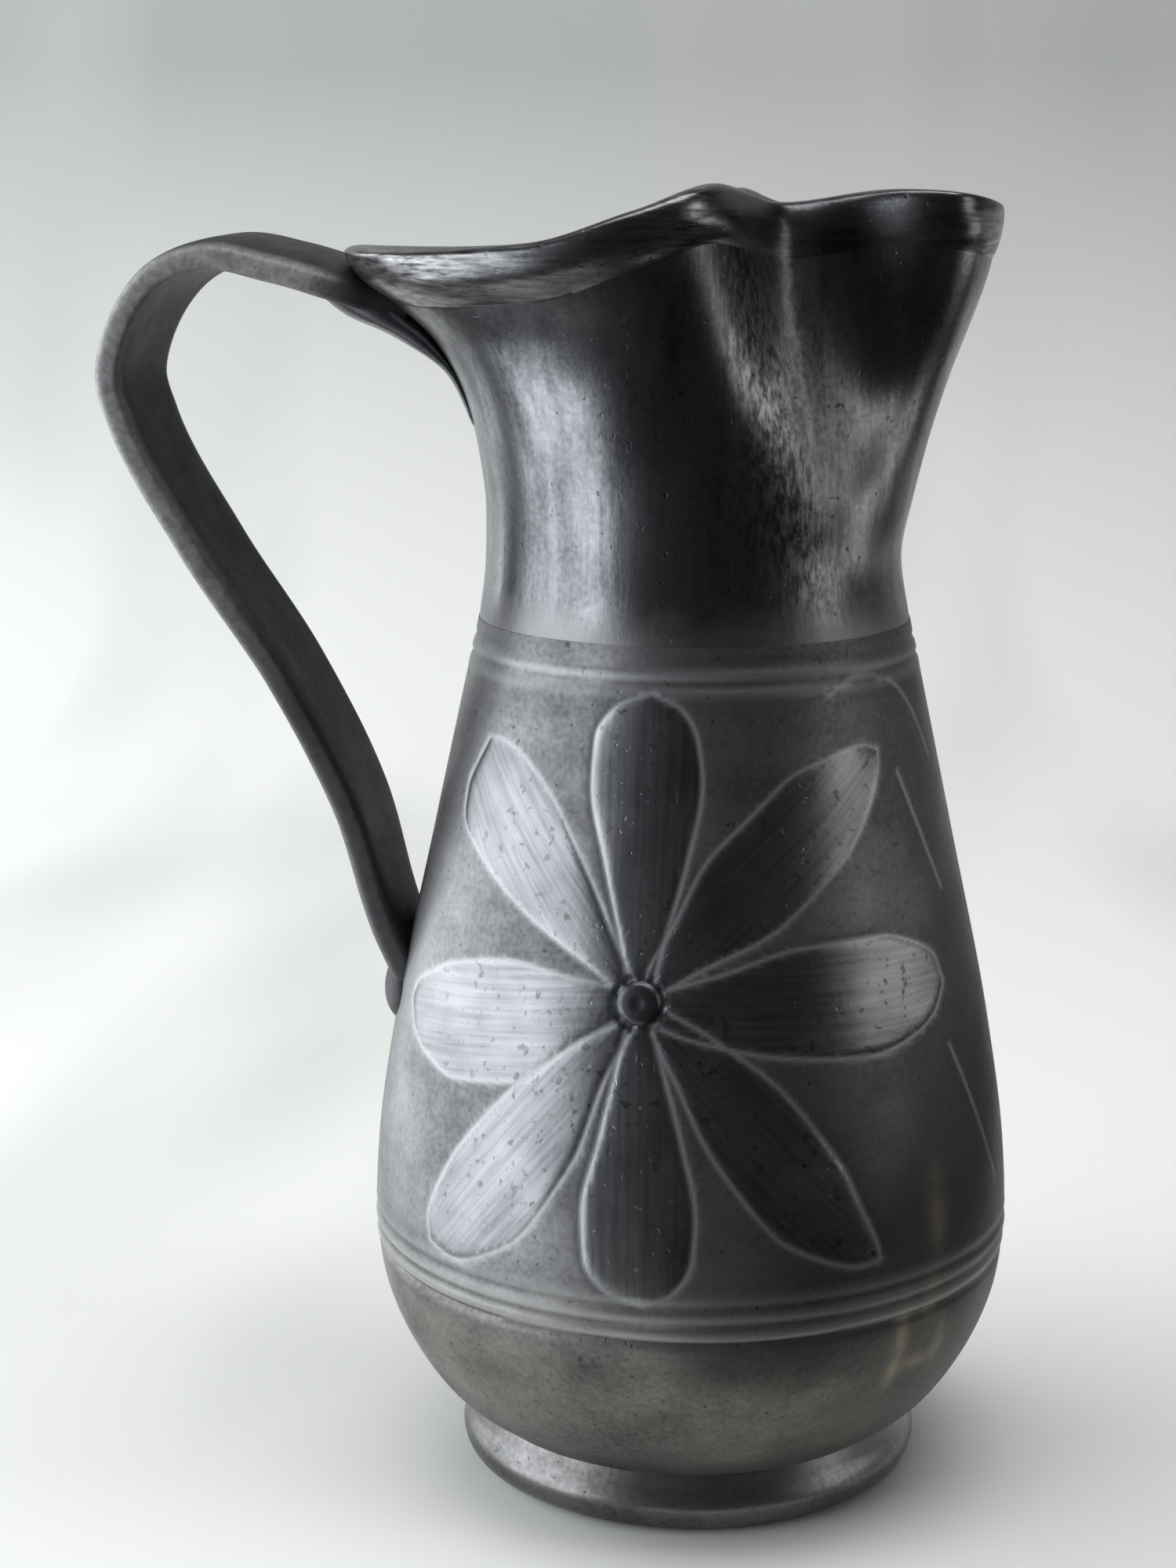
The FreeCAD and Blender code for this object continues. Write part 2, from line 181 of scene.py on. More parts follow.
# The neck's levels, and how much of its foot's step, flares and pinch there is at each
neck_level_shares = [0.0, 0.15, 0.3, 0.45, 0.6, 0.75, 0.87, 1.0]
neck_foot_shares = [1.0, 0.12, 0.0, 0.0, 0.0, 0.0, 0.0, 0.0]
handle_flare_shares = [0.0, 0.018, 0.018, 0.061, 0.162, 0.372, 0.7, 1.0]
side_flare_shares = [0.0, 0.012, 0.08, 0.218, 0.416, 0.657, 0.847, 1.0]
lip_flare_shares = [0.0, -0.012, 0.122, 0.283, 0.489, 0.728, 0.894, 1.0]
pinch_depth_shares = [0.0, 0.01, 0.06, 0.2, 0.43, 0.67, 0.84, 1.0]

# The rim behind the cusp: shares of the way round to the handle and of the rise
rim_back_shares = [(0.18, 0.6), (0.38, 0.13), (0.65, 0.0)]

# The strap's middle line, as shares of its height and of its bow, then how its lift, its
# width, its stand and its painted sheen change on the way
strap_path_shares = [
    (0.934, -0.238), (0.954, -0.091), (0.988, 0.271), (1.0, 0.517), (0.973, 0.755),
    (0.892, 0.952), (0.8355, 1.0), (0.784, 0.963), (0.616, 0.703), (0.443, 0.372),
    (0.266, 0.123), (0.1, 0.004), (0.0, -0.106),
]
strap_lift_stations_shares = [0.0, 0.14, 0.27, 0.6, 0.85, 1.0]
strap_lift_shares = [1.0, 1.0, -0.7, -0.7, -0.5, 0.0]
strap_neck_shares = ([0.0, 0.09], [0.6, 1.0])
strap_proud_shares = ([0.0, 0.2, 0.4, 0.8, 1.0], [0.0, 0.2, 1.0, 0.8, 0.0])
# Painted sheen: lighter speckled colour on the strap's side faces, across its edges and up its length
strap_sheen_across_shares = ([0.8, 0.97], [0.0, 1.0])
strap_sheen_up_shares = ([0.3, 0.7, 0.9, 0.97], [0.15, 1.0, 1.0, 0.0])

# The web's outer face, and where its top ends
web_out_shares = [0.0, 0.135, 0.459, 0.72, 1.0]
web_up_shares = [0.0, 0.309, 0.556, 0.69, 1.0]
web_top_share = 0.9

# The eight petals: the tip's place from the button's centre, along the wall and up,
# then half widths on the left and on the right of the way out, at petal_stations
petal_stations = [0.0, 0.06, 0.2, 0.45, 0.7, 0.85, 0.95, 1.0]
petals = [
    ((-0.4, 56.0), [0.8, 2.2, 4.2, 7.9, 11.0, 10.6, 7.0, 0.0], [0.8, 2.2, 4.2, 7.8, 10.2, 9.0, 5.8, 0.0]),
    ((47.5, 43.7), [0.8, 3.0, 6.2, 11.6, 11.8, 8.4, 4.6, 0.0], [0.5, 1.2, 3.2, 7.8, 8.6, 6.6, 3.6, 0.0]),
    ((67.9, -2.2), [0.8, 2.4, 5.4, 10.4, 11.2, 8.8, 5.4, 0.0], [1.2, 4.2, 6.8, 9.4, 10.2, 8.2, 5.0, 0.0]),
    ((49.7, -50.3), [0.8, 2.6, 5.6, 8.2, 7.0, 4.0, 1.8, 0.0], [0.6, 1.6, 4.4, 9.4, 11.0, 8.0, 4.2, 0.0]),
    ((1.8, -56.4), [0.8, 2.0, 4.2, 7.9, 10.6, 9.8, 6.4, 0.0], [0.8, 2.0, 4.2, 7.8, 11.2, 10.8, 7.0, 0.0]),
    ((-46.9, -52.7), [0.8, 2.2, 4.8, 11.6, 13.8, 10.8, 6.6, 0.0], [0.4, 0.8, 3.4, 6.8, 7.4, 6.2, 4.2, 0.0]),
    ((-61.5, -9.4), [0.8, 3.0, 6.0, 13.6, 13.4, 10.2, 6.2, 0.0], [0.8, 2.8, 5.4, 8.9, 7.8, 5.4, 3.2, 0.0]),
    ((-37.8, 44.4), [0.6, 1.6, 4.2, 9.6, 14.2, 16.0, 11.4, 0.0], [0.6, 1.4, 3.2, 6.6, 8.4, 7.0, 3.8, 0.0]),
]

# The freehand strokes under the lip: angle and height of their points
lip_strokes = [
    [(-51.8, 166.2), (-46.0, 168.2), (-37.1, 168.7), (-28.0, 166.4), (-20.0, 160.4), (-13.6, 151.0)],
    [(-32.6, 150.0), (-27.6, 139.0), (-21.7, 126.3)],
    [(-29.6, 97.5), (-25.4, 88.6), (-20.6, 78.0), (-14.3, 65.8)],
]

# Turned lines round the belly: height, depth (a ridge where it is negative), half width
# and wander
turned_lines = [
    (48.0, 0.5, 0.55, 0.5), (49.6, -0.3, 0.7, 0.5), (51.2, 0.3, 0.5, 0.4), (52.8, -0.3, 0.7, 0.4),
    (54.6, 0.28, 0.6, 0.2), (56.4, -0.12, 0.7, 0.2),
    (167.6, -0.15, 0.6, 0.25), (169.2, 0.36, 0.6, 0.25), (170.8, -0.2, 0.6, 0.25), (172.4, 0.4, 0.6, 0.25),
]


# Curves


def between(low, high, share):
    """A value at a share of the way from low to high."""
    return low + (high - low) * share


def hermite(x, stations, values):
    """A smooth value at x through the stations, without overshoot."""
    last = len(stations) - 1
    if x <= stations[0]:
        return values[0]
    if x >= stations[last]:
        return values[last]
    i = max(k for k in range(last) if stations[k] <= x)

    def slope(k):
        return (values[k + 1] - values[k]) / (stations[k + 1] - stations[k])

    def tangent(k):
        if k == 0:
            return slope(0)
        if k == last:
            return slope(last - 1)
        before = slope(k - 1)
        after = slope(k)
        if before * after <= 0:
            return 0.0
        return 2 * before * after / (before + after)

    step = stations[i + 1] - stations[i]
    t = (x - stations[i]) / step
    rise = values[i + 1] - values[i]
    start = tangent(i) * step
    end = tangent(i + 1) * step
    return (
        values[i]
        + t * start
        + t * t * (3 * rise - 2 * start - end)
        + t * t * t * (start + end - 2 * rise)
    )


def curve_through(points, count):
    """Evenly spaced points on a smooth curve through the points."""
    marks = [0.0]
    for a, b in zip(points, points[1:]):
        marks.append(marks[-1] + (b - a).length)
    last = len(points) - 1

    def tangent(k):
        if k == 0:
            return (points[1] - points[0]) / marks[1]
        if k == last:
            return (points[last] - points[last - 1]) / (marks[last] - marks[last - 1])
        before = marks[k] - marks[k - 1]
        after = marks[k + 1] - marks[k]
        behind = (points[k] - points[k - 1]) / before
        ahead = (points[k + 1] - points[k]) / after
        return (behind * after + ahead * before) / (before + after)

    tangents = [tangent(k) for k in range(last + 1)]
    out = []
    for n in range(count + 1):
        mark = marks[-1] * n / count
        i = max([k for k in range(last) if marks[k] <= mark] or [0])
        step = marks[i + 1] - marks[i]
        t = (mark - marks[i]) / step
        a = points[i]
        b = points[i + 1]
        start = tangents[i] * step
        end = tangents[i + 1] * step
        rise = b - a
        out.append(
            a
            + start * t
            + (rise * 3 - start * 2 - end) * (t * t)
            + (start + end - rise * 2) * (t * t * t)
        )
    return out


def belly_points():
    """Radius and height points of the belly's outer face, as in the frame."""
    rise = belly_widest_height - foot_height
    swell = belly_radius - foot_waist_radius
    low = [
        Vector((foot_waist_radius + swell * out, 0, foot_height + rise * up))
        for up, out in belly_low_shares
    ]
    rise = joint_height - belly_widest_height
    swell = belly_radius - joint_radius
    high = [
        Vector((joint_radius + swell * out, 0, belly_widest_height + rise * up))
        for up, out in belly_high_shares
    ]
    return low + high


belly_line = curve_through(belly_points(), count=600)


def belly_radius_at(height):
    """The belly's outer radius at a height."""
    low = 0
    high = len(belly_line) - 1
    while high - low > 1:
        middle = (low + high) // 2
        if belly_line[middle].z <= height:
            low = middle
        else:
            high = middle
    a = belly_line[low]
    b = belly_line[high]
    share = (height - a.z) / (b.z - a.z)
    return a.x + (b.x - a.x) * share


def rim_height(angle):
    """Height of the rim's crest at an angle."""
    front_angles = [0.0, rim_flank_angle, pinch_angle, cusp_angle]
    front = [rim_lip_height, rim_flank_height, rim_pinch_height, rim_cusp_height]
    back_angles = [between(cusp_angle, 180.0, way) for way, rise in rim_back_shares]
    back = [between(rim_low_height, rim_cusp_height, rise) for way, rise in rim_back_shares]
    angles = front_angles + back_angles + [180.0]
    return hermite(abs(angle), angles, front + back + [rim_handle_height])


def swing(lip_value, side_value, handle_value, angle):
    """A value that passes smoothly from the lip by the side to the handle."""
    mean = (lip_value + handle_value) / 2
    turn = math.radians(angle)
    return (
        (mean + side_value) / 2
        + (lip_value - handle_value) / 2 * math.cos(turn)
        + (mean - side_value) / 2 * math.cos(2 * turn)
    )


def neck_radius(angle, level):
    """The neck's outer radius before it is pinched, at a share of its height."""
    sizes = []
    for mouth_radius, shares in (
        (mouth_lip_radius, lip_flare_shares),
        (mouth_side_radius, side_flare_shares),
        (mouth_handle_radius, handle_flare_shares),
    ):
        flare = hermite(level, neck_level_shares, shares)
        sizes.append((mouth_radius - throat_radius) * flare)
    foot = joint_radius - neck_foot_step - throat_radius
    foot = foot * hermite(level, neck_level_shares, neck_foot_shares)
    return throat_radius + foot + swing(*sizes, angle)


def neck_point(angle, height, inset=0.0):
    """A point of the neck's wall, set in from its outer face, and pinched by fingers."""
    rise = rim_height(angle) - joint_height
    level = (height - joint_height) / rise
    radius = neck_radius(angle, level)
    lean = (radius - neck_radius(angle, level - lean_share)) / (rise * lean_share)
    turn = math.radians(angle)
    radius -= inset * math.sqrt(1 + lean * lean)
    point = Vector((radius * math.cos(turn), radius * math.sin(turn), height))
    centre = between(pinch_foot_angle, pinch_angle, level)
    middle = neck_radius(centre, level)
    bearing = math.radians(math.copysign(centre, angle))
    valley = Vector((middle * math.cos(bearing), middle * math.sin(bearing), 0))
    bearing = math.radians(math.copysign(between(foot_push_angle, push_angle, level), angle))
    push = Vector((math.cos(bearing), math.sin(bearing), 0))
    aside = (point.x - valley.x) * push.y - (point.y - valley.y) * push.x
    if aside * angle > 0:
        width = between(pinch_foot_lip_width, pinch_lip_width, level)
        squareness = pinch_lip_squareness
    else:
        width = between(pinch_foot_back_width, pinch_back_width, level)
        squareness = pinch_back_squareness
    width += inset * pinch_flank_share
    depth = pinch_depth * hermite(level, neck_level_shares, pinch_depth_shares)
    return point - push * depth * math.exp(-(abs(aside / width) ** squareness))


# Making meshes

# Edges that turn by more than this stay sharp
sharp_turn = math.radians(50.0)


def new_piece(name, mesh, finish, nodes):
    """An object from a bmesh in millimetres, riding on the jug and standing for nodes."""
    bmesh.ops.recalc_face_normals(mesh, faces=mesh.faces)
    for edge in mesh.edges:
        edge.smooth = edge.calc_face_angle(0.0) < sharp_turn
    bmesh.ops.scale(mesh, vec=(MM, MM, MM), verts=mesh.verts)
    data = bpy.data.meshes.new(name)
    mesh.to_mesh(data)
    mesh.free()
    for face in data.polygons:
        face.use_smooth = True
    piece = bpy.data.objects.new(name, data)
    bpy.context.scene.collection.objects.link(piece)
    data.materials.append(finish)
    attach(piece, "root")
    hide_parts(*nodes)
    return piece


def turned_mesh(outline, steps):
    """A closed outline of radii and heights, spun round the jug's axis."""
    mesh = bmesh.new()
    verts = [mesh.verts.new(point) for point in outline]
    edges = [mesh.edges.new(pair) for pair in zip(verts, verts[1:] + verts[:1])]
    bmesh.ops.spin(
        mesh,
        geom=verts + edges,
        cent=(0, 0, 0),
        axis=(0, 0, 1),
        angle=math.tau,
        steps=steps,
        use_merge=True,
    )
    bmesh.ops.remove_doubles(mesh, verts=mesh.verts, dist=0.001)
    return mesh


def bar_mesh(place, around, along):
    """A capped bar: place gives a point from a turn round it and a share along it."""
    mesh = bmesh.new()
    bmesh.ops.create_cone(
        mesh, cap_ends=True, segments=around, radius1=1, radius2=1, depth=1
    )
    upright = [e for e in mesh.edges if abs(e.verts[0].co.z - e.verts[1].co.z) > 0.5]
    bmesh.ops.subdivide_edges(mesh, edges=upright, cuts=along - 1, use_grid_fill=True)
    for vert in mesh.verts:
        turn = math.atan2(vert.co.y, vert.co.x)
        vert.co = place(turn, vert.co.z + 0.5)
    return mesh


def bearing_of(point):
    """The angle of a point round the jug's axis, in degrees from the lip."""
    return math.degrees(math.atan2(point.y, point.x))


def uneven(point, size, height):
    """A little unevenness of hand-made clay, of a given size and height."""
    return fractal(point / size, 1.0, 2.0, 2) * height


# Rosettes and strokes, drawn on the wall unrolled


def petal_side(widths):
    """A petal's half widths at even shares of its length."""
    steps = 120
    return [max(0.0, hermite(i / steps, petal_stations, widths)) for i in range(steps + 1)]


def petal_width(side, share):
    """A petal's half width at a share of its length."""
    last = len(side) - 1
    i = min(last - 1, int(share * last))
    part = share * last - i
    return side[i] * (1 - part) + side[i + 1] * part


def petal_frame(petal):
    """A petal's length and its direction on the unrolled wall."""
    tip = Vector(petal[0])
    return tip.length, tip.normalized()


def petal_outline(petal, spacing):
    """Points round a petal on the unrolled wall."""
    length, out = petal_frame(petal)
    left = Vector((-out.y, out.x))
    points = []
    steps = int(length / spacing)
    for sign, widths in ((1, petal_side(petal[1])), (-1, petal_side(petal[2]))):
        before = None
        for i in range(steps + 1):
            share = i / steps
            point = out * (length * share) + left * (sign * petal_width(widths, share))
            if before is not None:
                pieces = max(1, int((point - before).length / spacing))
                points += [before.lerp(point, k / pieces) for k in range(pieces)]
            before = point
        points.append(before)
    return points


def in_petal(petal, place):
    """Where a place lies in a petal: its distances out and aside, or None."""
    length, out, left_side, right_side = petal
    along = place.dot(out)
    aside = out.x * place.y - out.y * place.x
    share = along / length
    widths = left_side if aside > 0 else right_side
    if 0.0 < share < 1.0 and abs(aside) < petal_width(widths, share):
        return along, aside
    return None


def tree_of(points):
    """A search tree of points on a plane."""
    tree = KDTree(len(points))
    for i, point in enumerate(points):
        tree.insert((point[0], point[1], 0), i)
    tree.balance()
    return tree


petal_spacing = 0.2
all_outlines = tree_of([p for petal in petals for p in petal_outline(petal, petal_spacing)])
petal_fields = [(*petal_frame(petal), petal_side(petal[1]), petal_side(petal[2])) for petal in petals]
rosette_reach = 80.0


def stroke_points(stroke):
    """A freehand stroke as close points: arc and height in millimetres."""
    places = []
    for angle, height in stroke:
        arc = math.radians(angle) * belly_radius_at(height)
        places.append(Vector((arc, height, 0)))
    return curve_through(places, count=240)


stroke_tree = tree_of([point for stroke in lip_strokes for point in stroke_points(stroke)])


def arc_from(point, angle):
    """How far round the wall a point lies from an angle."""
    turn = (bearing_of(point) - angle + 180.0) % 360.0 - 180.0
    return math.radians(turn) * math.hypot(point.x, point.y)


def stroke_distance(point):
    """How far a wall point lies from the freehand strokes."""
    return stroke_tree.find(Vector((arc_from(point, 0.0), point.z, 0)))[2]


def outline_distance(place):
    """How far a place in a rosette lies from its petals' outlines."""
    return all_outlines.find(Vector((place.x, place.y, 0)))[2]


def rosette_place(point):
    """A wall point's place from the nearer rosette's centre, along the wall and up."""
    arcs = [arc_from(point, centre) for centre in rosette_angles]
    return Vector((min(arcs, key=abs), point.z - rosette_height))


def bell(distance, half_width):
    """One at the middle of a line and falling away beside it."""
    return math.exp(-((distance / half_width) ** 2))


# How quickly a turned line wanders on its way round, and how unlike the lines are
wander_closeness = 1.6
wander_apart = 3.7


def turned_line_depth(point):
    """How deep the turned lines press at a point of the belly, and how high they stand."""
    turn = math.atan2(point.y, point.x)
    depth = 0.0
    lightened = 0.0
    for i, (height, deep, half_width, wander) in enumerate(turned_lines):
        ring = Vector((math.cos(turn), math.sin(turn), 0)) * wander_closeness
        sway = noise(ring + Vector((0, 0, i * wander_apart)))
        here = bell(point.z - height - wander * sway, half_width)
        depth += deep * here
        lightened = max(lightened, -deep * here)
    return depth, lightened


# Brown stains on the lower right: angle, height, half widths along and up, and strength
stains = [
    (-38.5, 66.0, 3.0, 9.0, 0.5), (-40.0, 49.0, 2.2, 5.0, 0.5), (-46.5, 44.0, 1.6, 7.0, 0.8),
    (-41.0, 37.0, 4.6, 1.6, 0.7), (-47.5, 36.0, 1.4, 3.2, 0.9), (-36.0, 40.0, 1.8, 5.0, 0.5),
]


def stain_at(point):
    """How strong the stains are at a point of the belly."""
    strength = 0.0
    for angle, height, wide, high, strong in stains:
        aside = arc_from(point, angle)
        strength += strong * bell(math.hypot(aside / wide, (point.z - height) / high), 1.0)
    return min(1.0, strength)


def carve_belly(mesh, is_outer):
    """Presses lines, petals and strokes into the wall, and notes where each lies."""
    petal_layer = mesh.verts.layers.float_vector.new("petal")
    line_layer = mesh.verts.layers.float.new("line")
    stain_layer = mesh.verts.layers.float.new("stain")
    for vert in mesh.verts:
        vert[petal_layer] = Vector((far_off, 0.0, 0.0))
        if not is_outer(vert):
            continue
        place = rosette_place(vert.co)
        vert[stain_layer] = stain_at(vert.co)
        depth, lightened = turned_line_depth(vert.co)
        vert[line_layer] = min(1.0, lightened / line_depth)
        edge = outline_distance(place)
        inside = None
        for petal in petal_fields if place.length < rosette_reach else []:
            inside = in_petal(petal, place)
            if inside:
                break
        if inside:
            vert[petal_layer] = Vector((-edge, inside[0], inside[1]))
            depth -= petal_rise * min(1.0, edge / petal_shoulder)
        else:
            vert[petal_layer] = Vector((min(edge, far_off), place.x, place.y))
        depth += line_depth * bell(edge, line_width)
        past_button = place.length - button_radius
        depth += button_ring_depth * bell(past_button - button_ring_gap, button_ring_width)
        stroke = stroke_distance(vert.co)
        depth += stroke_depth * bell(stroke, line_width)
        if past_button < line_clear_of_button:
            edge = far_off
        vert[line_layer] = max(vert[line_layer], bell(edge, line_width), bell(stroke, line_width))
        outward = Vector((vert.co.x, vert.co.y, 0)).normalized()
        vert.co -= outward * depth


# Faces of the belly this near to a line are split, where their edges aren't longer
line_reach = 0.9
widest_split = 2.0


def belly_piece():
    """The thrown belly with its turned lines, rosettes and strokes."""
    outer = curve_through(belly_points(), count=150)
    inner = []
    for before, here, after in zip([outer[0]] + outer, outer, outer[1:] + [outer[-1]]):
        along = (after - before).normalized()
        inner.append(here - Vector((along.z, 0, -along.x)) * wall)
    # The inside is plain, so one row in five is enough
    inner = inner[::5]
    inner[0] = Vector((floor_radius, 0, foot_height))
    inner[-1] = Vector((joint_radius - wall, 0, joint_height))
    mesh = turned_mesh(outer + list(reversed(inner)), steps=384)

    def is_outer(vert):
        return math.hypot(vert.co.x, vert.co.y) > belly_radius_at(vert.co.z) - wall / 2

    near = []
    for edge in mesh.edges:
        middle = (edge.verts[0].co + edge.verts[1].co) / 2
        if not is_outer(edge.verts[0]) or edge.calc_length() > widest_split:
            continue
        if min(stroke_distance(middle), outline_distance(rosette_place(middle))) < line_reach:
            near.append(edge)
    bmesh.ops.subdivide_edges(mesh, edges=near, cuts=1, use_grid_fill=True)
    carve_belly(mesh, is_outer)
    return new_piece("belly", mesh, belly_clay, ["belly_wall"])


def foot_piece():
    """The splayed, turned foot."""
    stand_inner = foot_stand_radius - foot_ring_width
    moulding = curve_through(
        [
            Vector((foot_waist_radius, 0, foot_height)),
            Vector((foot_waist_radius + foot_cove_depth, 0, foot_height - foot_cove_drop)),
            Vector((foot_radius, 0, foot_widest_height)),
            Vector((foot_radius - foot_toe_inset, 0, foot_toe_height)),
            Vector((foot_stand_radius, 0, 0)),
        ],
        count=30,
    )
    outline = moulding + [
        Vector((stand_inner + foot_edge_chamfer, 0, 0)),
        Vector((stand_inner, 0, recess_depth)),
        Vector((floor_radius, 0, recess_depth)),
        Vector((floor_radius, 0, foot_height)),
    ]
    mesh = turned_mesh(outline, steps=192)
    return new_piece("foot", mesh, foot_clay, ["foot_ring"])


def floor_piece():
    """The round floor, dished inside and flat underneath."""
    top = recess_depth + floor_thickness
    dish = curve_through(
        [
            Vector((0, 0, top)),
            Vector((floor_radius * floor_dish_share, 0, between(top, foot_height, floor_dish_rise_share))),
            Vector((floor_radius, 0, foot_height)),
        ],
        count=24,
    )
    under = [Vector((floor_radius * share, 0, recess_depth)) for share in (1.0, 0.7, 0.4, 0.0)]
    mesh = turned_mesh(dish + under, steps=96)
    return new_piece("floor", mesh, inside_clay, ["base_floor"])


# How the neck's columns are spaced round it, and how much the mouth's edge counts
fine_steps = 1440
mouth_spacing_share = 0.6


def even_angles(count):
    """Angles round the neck, spaced evenly between the mouth's edge and a plain circle."""
    fine = [-180.0 + 360.0 * i / fine_steps for i in range(fine_steps + 1)]
    marks = [0.0]
    before = neck_point(fine[0], rim_height(fine[0]))
    for angle in fine[1:]:
        point = neck_point(angle, rim_height(angle))
        plain = throat_radius * math.radians(360.0 / fine_steps)
        marks.append(marks[-1] + between(plain, (point - before).length, mouth_spacing_share))
        before = point
    angles = []
    i = 0
    for n in range(count):
        mark = marks[-1] * n / count
        while marks[i + 1] < mark:
            i += 1
        share = (mark - marks[i]) / (marks[i + 1] - marks[i])
        angles.append(fine[i] + (fine[i + 1] - fine[i]) * share)
    return angles


neck_steps = 360
neck_angles = even_angles(neck_steps)

# The worn ridges behind the pinches: way out at the foot and at the top as shares of the
# pinch's width, and strength up the neck
ridge_places = (0.3, 0.75)
ridge_spread = 0.32
ridge_level_shares = [0.05, 0.25, 0.8, 0.98]
ridge_strength_shares = [0.5, 1.0, 1.0, 0.3]

# A radius past every inset, and how the band's bulge fades towards the lip
past_insets = 100.0
band_fade_angles = [0.0, 30.0, 75.0, 110.0]
band_fade_shares = [0.4, 0.3, 0.75, 1.0]


def neck_mesh(outline, height_of):
    """A closed outline of insets and shares, swept round the pinched neck."""
    section = [Vector((past_insets - inset, 0, share)) for inset, share in outline]
    mesh = turned_mesh(section, steps=neck_steps)
    for vert in mesh.verts:
        step = round((bearing_of(vert.co) + 180.0) / 360.0 * neck_steps) % neck_steps
        inset = past_insets - math.hypot(vert.co.x, vert.co.y)
        angle = neck_angles[step]
        if inset < 0:
            inset *= hermite(abs(angle), band_fade_angles, band_fade_shares)
        vert.co = neck_point(angle, height_of(angle, vert.co.z), inset)
    return mesh


def ridge_wear(point):
    """How worn the neck is at a point, along the ridges behind the pinches."""
    level = (point.z - joint_height) / (rim_pinch_height - joint_height)
    side = math.copysign(1.0, point.y)
    centre = between(pinch_foot_angle, pinch_angle, level)
    middle = neck_radius(centre, level)
    bearing = math.radians(centre)
    push = math.radians(between(foot_push_angle, push_angle, level))
    across = point.x - middle * math.cos(bearing)
    along = side * point.y - middle * math.sin(bearing)
    aside = along * math.cos(push) - across * math.sin(push)
    width = between(pinch_foot_back_width, pinch_back_width, level)
    here = bell(aside / width - between(*ridge_places, level), ridge_spread)
    return here * hermite(level, ridge_level_shares, ridge_strength_shares)


def neck_piece():
    """The neck from the joint up to the rim band."""
    outer_rows = 56
    inner_rows = 28
    outer = [(0.0, i / outer_rows) for i in range(outer_rows + 1)]
    inner = [(wall, i / inner_rows) for i in range(inner_rows + 1)]

    def height_of(angle, share):
        top = rim_height(angle) - band_height
        return joint_height + (top - joint_height) * share

    mesh = neck_mesh(outer + list(reversed(inner)), height_of)
    worn_layer = mesh.verts.layers.float.new("lightened")
    for vert in mesh.verts:
        vert[worn_layer] = ridge_wear(vert.co)
        outward = Vector((vert.co.x, vert.co.y, 0)).normalized()
        vert.co += outward * uneven(vert.co, neck_sway_size, neck_sway_height)
    return new_piece("neck", mesh, neck_clay, ["neck_wall"])


# Round the band's section: how far in as a share of the wall, or out as a share of the
# bulge where it is negative, and how far down the band
band_outline_shares = [
    (0.0, 1.0), (-0.14, 0.93), (-0.55, 0.8), (-0.95, 0.6), (-1.0, 0.42), (-0.85, 0.25),
    (-0.35, 0.08), (0.32, 0.0), (0.75, 0.06), (1.0, 0.25), (1.0, 0.6), (1.0, 1.0),
]

# Worn places on the rim: angle from the lip, spread and strength
rim_wear = [(150.0, 30.0, 0.9), (88.0, 8.0, 0.7), (4.0, 16.0, 1.0)]


def rim_piece():
    """The rolled band round the three-lobed mouth."""
    points = []
    for inset, down in band_outline_shares:
        size = wall if inset > 0 else band_bulge
        points.append(Vector((size * inset, down * band_height, 0)))
    outline = [(p.x, p.y / band_height) for p in curve_through(points, count=48)]

    def height_of(angle, down):
        return rim_height(angle) - band_height * down

    mesh = neck_mesh(outline, height_of)
    layer = mesh.verts.layers.float.new("lightened")
    for vert in mesh.verts:
        angle = abs(bearing_of(vert.co))
        marks = [strong * bell(angle - middle, spread) for middle, spread, strong in rim_wear]
        vert[layer] = min(1.0, sum(marks))
    return new_piece("rim", mesh, rim_clay, ["rim_band"])


# Handle


def strap_points():
    """Points of the strap's middle line, from the rim down to the belly."""
    top = rim_handle_height - strap_crown_drop
    foot_here = belly_radius_at(strap_foot_height)
    points = []
    for up, out in strap_path_shares:
        height = strap_foot_height + (top - strap_foot_height) * up
        base = foot_here + (mouth_handle_radius - foot_here) * up
        points.append(Vector((-(base + strap_bow * out), 0, height)))
    points[0].x = neck_point(180.0, points[0].z).x + strap_bite
    return points


strap_line = curve_through(strap_points(), count=240)
strap_tree = tree_of([(point.x, point.z) for point in strap_line])


def rounded(turn, squareness):
    """Across and through of a rounded oblong at a turn, each from minus one to one."""
    power = 2 / squareness
    across = math.copysign(abs(math.cos(turn)) ** power, math.cos(turn))
    through = math.copysign(abs(math.sin(turn)) ** power, math.sin(turn))
    return across, through


def strap_place(turn, share):
    """A point on the strap's face."""
    i = min(len(strap_line) - 2, max(1, round(share * (len(strap_line) - 1))))
    centre = strap_line[i]
    along = (strap_line[i + 1] - strap_line[i - 1]).normalized()
    outward = Vector((0, 1, 0)).cross(along).normalized()
    squareness = strap_outer_squareness if math.sin(turn) > 0 else strap_inner_squareness
    across, through = rounded(turn, squareness)
    width = between(strap_top_width, strap_foot_width, share) * hermite(share, *strap_neck_shares)
    lift = strap_lift * hermite(share, strap_lift_stations_shares, strap_lift_shares)
    place = Vector((across * strap_sway_across, strap_sway_slice, share * strap_sway_along))
    sway = uneven(place, 1.0, strap_sway)
    point = centre + Vector((0, across * (width / 2 + sway), 0))
    out = strap_thickness / 2 * through + sway * strap_face_sway_share
    proud = strap_bow_proud * hermite(share, *strap_proud_shares)
    return point + outward * (lift * across + out + proud)


